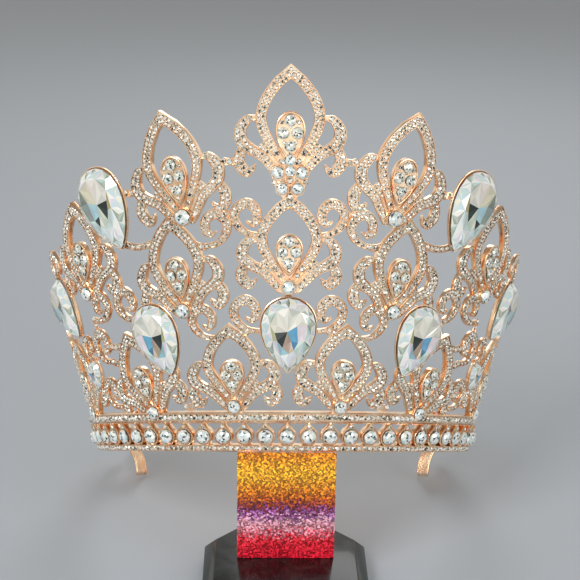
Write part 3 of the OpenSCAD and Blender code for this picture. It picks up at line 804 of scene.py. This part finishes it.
# How much of the girdle's and of the table's place the corners between them take
FROM_GIRDLE, FROM_TABLE = 0.55, 0.45
TABLE = [  # corners as shares of the half width and half length, clockwise
    (0, 0.78), (0.44, 0.68), (0.68, 0.32), (0.57, -0.1), (0.3, -0.5), (0, -0.82),
    (-0.3, -0.5), (-0.57, -0.1), (-0.68, 0.32), (-0.44, 0.68),
]
PAVILION = [  # corners of the back's facets, seen through the table, and how proud they lie
    (-0.04, 0.14, 0), (0.31, 0.3, 0.25), (0.35, -0.15, -0.1), (0.19, -0.36, 0.2),
    (0.09, -0.11, -0.15), (0.03, -0.45, 0.1), (-0.22, -0.29, -0.1), (-0.42, -0.1, 0.2),
    (-0.51, 0.11, -0.1),
]
# The back's facets as corners, 0 to 9 of the table and 10 to 18 of the pavilion, with the
# colour of painted reflection and shade that each shows in a stone seen square on and in one seen
# aslant
SEEN_FACETS = [
    ((10, 11, 12, 14), "#6fb2d6", "#b4d9e3"), ((14, 12, 13), "#3b7fa5", "#37423f"),
    ((10, 14, 15, 16), "#b5a28e", "#dbe6d4"), ((18, 10, 16, 17), "#2b3835", "#2f3936"),
    ((17, 16, 15, 6), "#9cc6d4", "#d2e6e2"), ((14, 13, 15), "#d8c6ae", "#e7eae2"),
    ((15, 13, 4, 5), "#e2e5f0", "#dfeef0"), ((15, 5, 6), "#f5faf8", "#f3f8f5"),
    ((8, 18, 17, 7), "#b7ba8e", "#b9b182"), ((7, 17, 6), "#e2d6e2", "#d5e2d8"),
    ((11, 2, 3, 12), "#f1e4ea", "#98a39b"), ((12, 3, 4, 13), "#cfe5dc", "#c3dcd6"),
    ((10, 18, 8, 9), "#efecdf", "#f3f0e6"), ((10, 9, 0), "#f7f5eb", "#f6efe6"),
    ((10, 0, 1), "#dddfd4", "#ece6d0"), ((10, 1, 11), "#f5f2e6", "#dcd8c0"),
    ((11, 1, 2), "#e6e5d8", "#8d958a"),
]
# Stones seen aslant take the second set of painted reflections and shade
SEEN_ASLANT = ("top_drop", "outer_drop")
# A back facet is broken round its middle, in or out, into these shares of its colour, as painted
# shade
SHADES = (1.0, 0.9, 1.05, 0.96, 0.84)
FACET_PROUD, FACET_SUNK = 0.09, -0.06
# Where a crown facet is broken, as shares of its two outer corners each and of the third
THIN_SHADE, WIDE_SHADE = (0.43, 0.14), (0.36, 0.28)
# The crown's colours are painted reflections and painted shade: whites, mints, lilac and greys
CROWN_COLOURS = [
    "#fbfcf8", "#dceae4", "#fefdf8", "#c3dcd9", "#f4f3ea", "#e6dff0", "#cfe6ee", "#ffffff",
    "#b9c6b6", "#f3f0d8", "#f6f8f6", "#d3e8e0", "#a3b0a4",
]
# The slivers are painted shade where dark and painted highlight where pale
SLIVER_COLOURS = ["#3d4641", "#eef4f0", "#59635c", "#8fa19a", "#f7f4e8"]
BACK_COLOUR = "#b9c4b8"
# The faint emission set here is a painted glow, not a lamp
drop_glass, drop_tree, drop_shader = new_material("foiled_pear_cut_glass_polished", {
    "Metallic": 0.12, "Roughness": 0.06, "Coat Weight": 0.7, "Coat Roughness": 0.01,
    "Emission Strength": 0.05})
drop_colour = add(drop_tree, "ShaderNodeAttribute", attribute_name="facet_colour")
drop_coords = add(drop_tree, "ShaderNodeTexCoord")
# Faint painted depth inside each facet, about 3 mm across: a cloudy tone standing in for light
# seen in the glass
drop_depth = add(drop_tree, "ShaderNodeTexNoise",
                 {"Vector": drop_coords.outputs["Object"], "Scale": 330.0, "Detail": 2.0})
drop_mix = add(drop_tree, "ShaderNodeMix",
               {0: 0.25, 6: drop_colour.outputs["Color"], 7: drop_depth.outputs["Color"]},
               data_type="RGBA", blend_type="SOFT_LIGHT")
# Thick glass takes a sixth of the light. The same colour glows faintly as emission: a painted glow
# standing in for the light the foil sends back from every facet
drop_colour_and_glow = add(drop_tree, "ShaderNodeVectorMath", {0: drop_mix.outputs[2], "Scale": 0.84},
                operation="SCALE")
plug(drop_shader, {"Base Color": drop_colour_and_glow, "Emission Color": drop_colour_and_glow})


def crown_colour(i):
    return CROWN_COLOURS[i % len(CROWN_COLOURS)]


def pear_stone(name, angle, height, lean, length, width, side, aslant):
    tall = PEAR_TALL * min(1, 0.5 + length / (2 * FULL_LENGTH))
    place = on_wall(angle, height, lean, SETTING_BACK + DROP_SEAT + STONE_GAP)
    n = len(TABLE)
    outline = drop_outline(length, width, 2 * n)
    points, faces, colours = [], [], []

    def put(x, y, z):
        points.append(place @ Vector((x, y, z)))
        return len(points) - 1

    seat = [put(x * SEAT_SHARE, y * SEAT_SHARE, 0) for x, y in outline]
    girdle = [put(x, y, GIRDLE_UP * tall) for x, y in outline]
    table = [put(x * width / 2, y * length / 2, TABLE_UP * tall) for x, y in TABLE]
    # The outline runs from its tip, against the table's corners, so table corner k lies
    # opposite girdle corner n - 2k, and a corner between them opposite the one before that
    middle = []
    for k in range(n):
        x, y = outline[n - 1 - 2 * k]
        u, v = TABLE[k], TABLE[(k + 1) % n]
        tx, ty = (u[0] + v[0]) / 4 * width, (u[1] + v[1]) / 4 * length
        middle.append(put(x * FROM_GIRDLE + tx * FROM_TABLE, y * FROM_GIRDLE + ty * FROM_TABLE,
                          CROWN_UP * tall))
    pavilion = [put(x * width / 2, y * length / 2, TABLE_UP * tall + z) for x, y, z in PAVILION]

    def facet(corners, colour, shade=1):
        faces.append(tuple(corners))
        colours.extend([*(shade * part for part in linear(colour)[:3]), 1])

    def broken_facet(corners, shade):
        """A crown facet as the eye sees it, broken by the back's edges into three painted shades,
        from a place among the colours on. The first, along its outer edge, is now and then a thin
        one from the slivers' colours."""
        a, b, c = corners
        thin = shade % 3 == 0
        near, far = THIN_SHADE if thin else WIDE_SHADE
        points.append(points[a] * near + points[b] * near + points[c] * far)
        inside = len(points) - 1
        facet((a, b, inside), SLIVER_COLOURS[shade % len(SLIVER_COLOURS)] if thin
              else crown_colour(shade))
        facet((b, c, inside), crown_colour(shade + 4))
        facet((c, a, inside), crown_colour(shade + 9))

    # Below the girdle go all the crown's colours but the last, the darkest
    for k in range(2 * n):
        j = (k + 1) % (2 * n)
        facet((seat[k], girdle[k], girdle[j], seat[j]),
              CROWN_COLOURS[5 * k % (len(CROWN_COLOURS) - 1)])
    for k in range(n):
        before, between, after = (girdle[n - 2 * k - i] for i in range(3))
        broken_facet((table[k], table[(k + 1) % n], middle[k]), 3 * k + 1)
        broken_facet((before, table[k], middle[k]), 4 * k)
        broken_facet((after, middle[k], table[(k + 1) % n]), 7 * k + 5)
        broken_facet((before, middle[k], between), 6 * k + 2)
        broken_facet((between, middle[k], after), 2 * k + 9)
    lookup = table + pavilion
    up = place.to_3x3() @ Vector((0, 0, 1))
    for i, (numbers, square_on, seen_aslant) in enumerate(SEEN_FACETS):
        corners = [lookup[c] for c in numbers]
        points.append(sum((points[c] for c in corners), Vector()) / len(corners)
                      + up * (FACET_PROUD if i % 2 else FACET_SUNK))
        inside = len(points) - 1
        for k, corner in enumerate(corners):
            facet((corner, corners[(k + 1) % len(corners)], inside),
                  seen_aslant if aslant else square_on, SHADES[(2 * i + k) % len(SHADES)])
    facet(reversed(seat), BACK_COLOUR)
    obj = object_from(name, in_metres(points, side), faces)
    made_one(obj.data)
    share = obj.data.attributes.new("facet_colour", "FLOAT_COLOR", "FACE")
    share.data.foreach_set("color", colours)
    obj.data.materials.append(drop_glass)
    return obj


for name, *drop in DROPS:
    for side in BOTH if drop[0] else MIDDLE:
        node = name + ("_right" if side == 1 else "_left") if drop[0] else name
        stone = pear_stone("cut_" + node, *drop, side, name in SEEN_ASLANT)
        finished(stone, node)

# The combs: hard-drawn wire bent into loops and soldered inside the band's two ends,
# plated with the crown.
COMB_D, COMB_PITCH, COMB_LOOPS, COMB_ANGLE = 1.3, 3.4, 4, 104
COMB_TOP_UP, COMB_DROP, COMB_TIP_R, COMB_GAP = 11, 9.2, 57.5, 0.3
COMB_TOP_R = (BAND_R + (COMB_TOP_UP - METAL_T * math.sin(FLARE)) * math.tan(FLARE)
              - METAL_T * math.cos(FLARE) - COMB_D / 2 - COMB_GAP)
COMB_ROWS = [  # across as a share of the pitch, down as a share of the way to the tips
    (-0.25, 0.04), (-0.25, 0.35), (-0.25, 0.7), (-0.25, 0.94), (-0.1, 1), (0.1, 1),
    (0.25, 0.94), (0.25, 0.7), (0.25, 0.35), (0.25, 0.04), (0.5, 0),
]
comb_tree, wire_in = new_tree("wire_along_a_route", ("Wire", "Float"))
wire_route = add(comb_tree, "GeometryNodeMeshToCurve", {"Mesh": wire_in.outputs["Geometry"]})
wire_section = add(comb_tree, "GeometryNodeCurvePrimitiveCircle",
                   {"Resolution": 10, "Radius": wire_in.outputs["Wire"]}, mode="RADIUS")
wire_tube = add(comb_tree, "GeometryNodeCurveToMesh",
                {"Curve": wire_route, "Profile Curve": wire_section, "Fill Caps": True})
wire_smooth = add(comb_tree, "GeometryNodeSetShadeSmooth", {"Geometry": wire_tube})
end_tree(comb_tree, wire_in, wire_smooth)
comb_route = []
for i in range(COMB_LOOPS):
    # The last loop doesn't run on to a next one
    for x, share in COMB_ROWS if i < COMB_LOOPS - 1 else COMB_ROWS[:-1]:
        r = COMB_TIP_R + (COMB_TOP_R - COMB_TIP_R) * (1 - share) ** 2
        angle = (math.radians(COMB_ANGLE)
                 + (i - (COMB_LOOPS - 1) / 2 + x) * COMB_PITCH / COMB_TOP_R)
        comb_route.append((r * math.sin(angle), -r * math.cos(angle),
                           COMB_TOP_UP - (COMB_TOP_UP + COMB_DROP) * share))
comb_points = [crown_pose @ Vector(p) for p in smooth_path(comb_route, 3)]
for side, end in ((1, "right"), (-1, "left")):
    comb = object_from("comb_wire_" + end, in_metres(comb_points, side), [],
                       [(k, k + 1) for k in range(len(comb_points) - 1)])
    made_plain(comb, comb_tree, {"Wire": COMB_D / 2 * MM, "Material": rose_gold})
    finished(comb, "comb_" + end)

# The upright is clear resin poured full of glitter in bands: gold, orange, a dark purple
# seam, pink and red at the foot. It is a plain block with its edges barely broken, glued
# to the base.
BASE_T, UPRIGHT_W, UPRIGHT_D, UPRIGHT_H, UPRIGHT_FRONT = 9, 33.5, 12, 41.5, 2.6
UPRIGHT_GAP, UPRIGHT_BROKEN = 0.02, 0.3
GLITTER_BANDS = [  # share of the height, colour
    (0.0, "#ff2440"), (0.2, "#ff3a48"), (0.27, "#ff9db2"), (0.36, "#f2b3c0"),
    (0.42, "#b066b4"), (0.47, "#6a2a58"), (0.53, "#a8421a"), (0.62, "#e27c1c"),
    (0.8, "#f8b62e"), (1.0, "#e8861e"),
]
glitter, glitter_tree, glitter_shader = new_material("cast_clear_resin_with_glitter", {
    "Metallic": 0.35, "Roughness": 0.3, "Coat Weight": 0.5, "Coat Roughness": 0.05})
glitter_coords = add(glitter_tree, "ShaderNodeTexCoord")
# Flakes about 0.7 mm across, drawn a little coarse so that they show
glitter_flakes = add(glitter_tree, "ShaderNodeTexVoronoi",
                     {"Vector": glitter_coords.outputs["Object"], "Scale": 1700.0})
glitter_split = add(glitter_tree, "ShaderNodeSeparateColor",
                    {"Color": glitter_flakes.outputs["Color"]})
glitter_axes = add(glitter_tree, "ShaderNodeSeparateXYZ",
                   {"Vector": glitter_coords.outputs["Object"]})
# The bands' borders wander by about 3 mm from flake to flake
glitter_jitter = add(glitter_tree, "ShaderNodeMapRange",
                     {"Value": glitter_split.outputs["Red"], "To Min": -0.0026, "To Max": 0.0026})
glitter_height = add(glitter_tree, "ShaderNodeMath",
                     {0: glitter_axes.outputs["Z"], 1: glitter_jitter}, operation="ADD")
glitter_share = add(glitter_tree, "ShaderNodeMapRange",
                    {"Value": glitter_height, "From Min": BASE_T * MM,
                     "From Max": (BASE_T + UPRIGHT_H) * MM})
glitter_bands = add(glitter_tree, "ShaderNodeValToRGB", {"Fac": glitter_share})
set_stops(glitter_bands.color_ramp, GLITTER_BANDS)
# Painted glints: most flakes are painted dull and a few up to nearly three times as bright, as if
# they faced the light and flashed
glitter_flash = add(glitter_tree, "ShaderNodeMath",
                    {0: glitter_split.outputs["Green"], 1: 2.4}, operation="POWER")
glitter_painted_glints = add(glitter_tree, "ShaderNodeMapRange",
                     {"Value": glitter_flash, "To Min": 0.42, "To Max": 2.9})
glitter_bands_and_glints = add(glitter_tree, "ShaderNodeVectorMath",
                     {0: glitter_bands, "Scale": glitter_painted_glints}, operation="SCALE")
glitter_tilt = add(glitter_tree, "ShaderNodeBump",
                   {"Height": glitter_split.outputs["Blue"], "Strength": 0.5, "Distance": 0.0003})
plug(glitter_shader, {"Base Color": glitter_bands_and_glints, "Normal": glitter_tilt})


def poured_block(name, points, rings, broken, material, node):
    """A cast block with its edges broken, which stands for its node."""
    block = object_from(name, points, tube_faces(0, rings, len(points) // rings))
    made_one(block.data, broken=broken)
    smooth_between_edges(block.data)
    block.data.materials.append(material)
    finished(block, node)


upright_top, upright_end = BASE_T + UPRIGHT_H, UPRIGHT_FRONT + UPRIGHT_D
upright_side = [  # its top slopes as the crown leans
    (UPRIGHT_FRONT, BASE_T + UPRIGHT_GAP), (UPRIGHT_FRONT, upright_top),
    (upright_end, upright_top - UPRIGHT_D * math.tan(LEAN_BACK)),
    (upright_end, BASE_T + UPRIGHT_GAP),
]
poured_block("glitter_upright",
             [(x * UPRIGHT_W / 2 * MM, y * MM, z * MM) for x in (-1, 1) for y, z in upright_side],
             2, UPRIGHT_BROKEN, glitter, "stand_upright")

# The base is cast black resin, polished, a square with its corners cut off and a wide
# sloped edge. Its front is plain.
BASE_SIDE, BASE_BEVEL, BASE_CORNER, BASE_BROKEN = 57, 4, 12, 0.35
CORNER_LESS = 0.6  # how much the slope takes off a cut corner, as a share of the bevel
black_resin, resin_tree, resin_shader = new_material("cast_black_resin_polished", {
    "Coat Weight": 0.2, "Coat Roughness": 0.05, "Specular IOR Level": 0.2})
resin_coords = add(resin_tree, "ShaderNodeTexCoord")
# Cloudy swirls left by the pour, about 8 mm across
resin_swirl = add(resin_tree, "ShaderNodeTexNoise",
                  {"Vector": resin_coords.outputs["Object"], "Scale": 120.0, "Detail": 4.0,
                   "Distortion": 1.2})
resin_tone = add(resin_tree, "ShaderNodeValToRGB", {"Fac": resin_swirl})
set_stops(resin_tone.color_ramp, [(0.4, "#0b0e10"), (0.75, "#26302f")])
resin_rough = add(resin_tree, "ShaderNodeMapRange",
                  {"Value": resin_swirl, "To Min": 0.08, "To Max": 0.28})
plug(resin_shader, {"Base Color": resin_tone, "Roughness": resin_rough})


def cut_square(side, corner):
    h = side / 2
    return [(h, -h + corner), (h, h - corner), (h - corner, h), (-h + corner, h),
            (-h, h - corner), (-h, -h + corner), (-h + corner, -h), (h - corner, -h)]


base_rings = [
    (cut_square(BASE_SIDE, BASE_CORNER), 0),
    (cut_square(BASE_SIDE, BASE_CORNER), BASE_T - BASE_BEVEL),
    (cut_square(BASE_SIDE - 2 * BASE_BEVEL, BASE_CORNER - BASE_BEVEL * CORNER_LESS), BASE_T),
]
poured_block("black_base", [(x * MM, y * MM, z * MM) for ring, z in base_rings for x, y in ring],
             len(base_rings), BASE_BROKEN, black_resin, "stand_base")

# A plain floor, painted matt and pale, and soft studio light: a key from the left, a weak
# fill from the right, a low one in front and a rim light behind.
FLOOR_HALF, FLOOR_DOWN = 3, -0.0002
floor_paint = new_material("matt_pale_floor", {
    "Base Color": linear("#adb3ba"), "Roughness": 0.7})[0]
floor = object_from("floor", [(x * FLOOR_HALF, y * FLOOR_HALF, FLOOR_DOWN)
                              for x, y in ((-1, -1), (1, -1), (1, 1), (-1, 1))], [(0, 1, 2, 3)])
floor.data.materials.append(floor_paint)
world = bpy.data.worlds.new("studio")
bpy.context.scene.world = world
world.use_nodes = True
sky = world.node_tree
# White screens stand all round, so it is brightest a little above the horizon
sky_way = add(sky, "ShaderNodeSeparateXYZ",
              {0: add(sky, "ShaderNodeTexCoord").outputs["Generated"]})
sky_light = add(sky, "ShaderNodeMapRange",
                {"Value": sky_way.outputs["Z"], "From Min": 0.25, "From Max": 0.8,
                 "To Min": 1.05, "To Max": 0.3}, interpolation_type="SMOOTHSTEP")
plug(sky.nodes["Background"], {"Color": linear("#efece6"), "Strength": sky_light})
LIGHTS = [  # name, place, size, power in watts
    ("key", (-0.5, -0.55, 0.7), 0.4, 4.6),
    ("fill", (0.6, -0.5, 0.4), 0.4, 1.4),
    ("front", (0.15, -1.0, 0.2), 0.8, 0.7),
    ("rim", (0.1, 0.65, 0.6), 0.4, 1.6),
]
LIT = Vector((0, 0.04, 0.09))
for name, place, size, power in LIGHTS:
    lamp = bpy.data.lights.new(name, "AREA")
    lamp.size = size
    lamp.energy = power
    lamp_object = bpy.data.objects.new(name, lamp)
    lamp_object.location = place
    lamp_object.rotation_euler = (LIT - Vector(place)).to_track_quat("-Z", "Y").to_euler()
    bpy.context.scene.collection.objects.link(lamp_object)
bpy.context.scene.view_settings.view_transform = "Standard"

# The camera stands where the photo's did: worked out in the crown's own axes, before the
# crown leans back. Its focal length is in pixels, its distance in millimetres.
FOCAL, DISTANCE, OFF_AXIS, FRAME_W, SENSOR_W = 1391.0, 540.8, 6.1, 580, 36
RISE, ROLL, YAW, PITCH = (math.radians(a) for a in (0.23, 0.27, -1.06, 6.36))
eye = DISTANCE * Vector((math.cos(RISE) * math.sin(YAW), -math.cos(RISE) * math.cos(YAW),
                         math.sin(RISE)))
ahead = Vector((-math.sin(YAW) * math.cos(PITCH), math.cos(YAW) * math.cos(PITCH),
                math.sin(PITCH)))
level = ahead.cross(Vector((0, 0, 1))).normalized()
right = level * math.cos(ROLL) + level.cross(ahead) * math.sin(ROLL)
ahead = (ahead + right * OFF_AXIS / FOCAL).normalized()
right = (right - ahead * right.dot(ahead)).normalized()
turn = crown_pose.to_3x3() @ Matrix((right, right.cross(ahead), -ahead)).transposed()
camera_data = bpy.data.cameras.new("camera")
camera_data.sensor_width = SENSOR_W
camera_data.lens = FOCAL * SENSOR_W / FRAME_W
camera_data.clip_start, camera_data.clip_end = 0.05, 20
camera = bpy.data.objects.new("camera", camera_data)
camera.matrix_world = Matrix.Translation(crown_pose @ eye * MM) @ turn.to_4x4()
bpy.context.scene.collection.objects.link(camera)
bpy.context.scene.camera = camera
